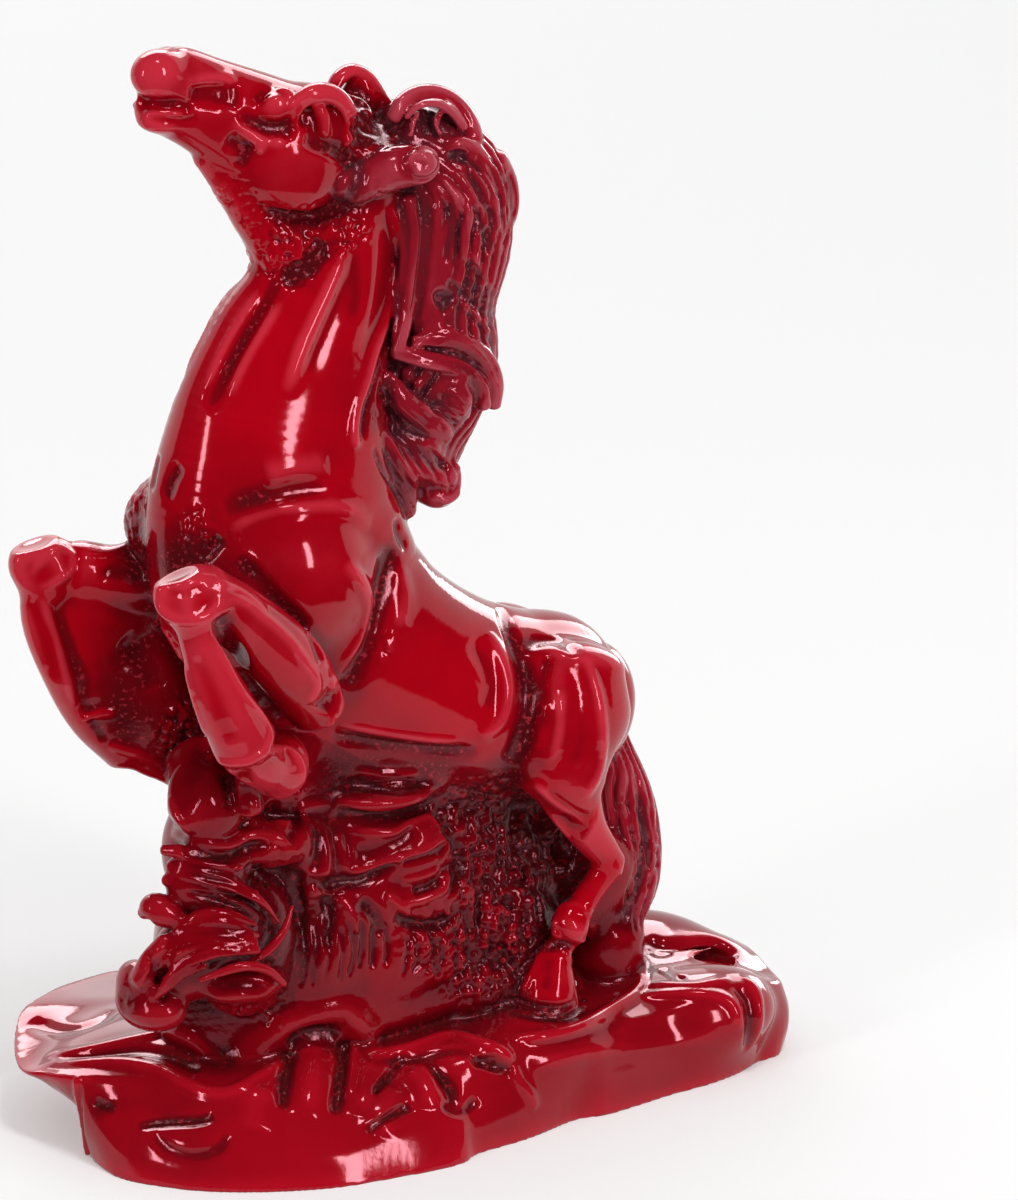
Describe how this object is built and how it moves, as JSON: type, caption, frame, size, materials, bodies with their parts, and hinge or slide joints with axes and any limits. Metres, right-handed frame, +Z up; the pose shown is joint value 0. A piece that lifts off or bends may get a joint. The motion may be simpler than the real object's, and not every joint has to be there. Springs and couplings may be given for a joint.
{
  "type": "horse figurine",
  "caption": "Rearing horse figurine with swept mane on a rough rock base, glossy translucent red cast resin, free-standing desk ornament on a flat underside.",
  "frame": {"origin": "on the flat underside of the base, below the middle of the horse's body", "axes": "+Z up out of the base's top, the horse faces -X, its left side is towards -Y"},
  "size_m": [0.0809, 0.0435, 0.1155],
  "materials": {
    "body_resin": "polished translucent cast resin, deep ox-blood red, dark wash in the creases",
    "hair_resin": "polished cast resin, ox-blood red, darker wash between the strands",
    "rock_resin": "glossy rough-cast resin, dark red with near-black recesses",
    "base_resin": "glossy cast resin, deep red, rounded rock forms"
  },
  "bodies": {
    "root": {"base": "base_resin", "rock_pillar": "rock_resin", "grass_tuft": "rock_resin", "torso": "body_resin", "neck": "body_resin", "head": "body_resin", "mane": "hair_resin", "left_foreleg": "body_resin", "right_foreleg": "body_resin", "left_hind_leg": "body_resin", "right_hind_leg": "body_resin", "tail": "hair_resin"}
  },
  "joints": []
}
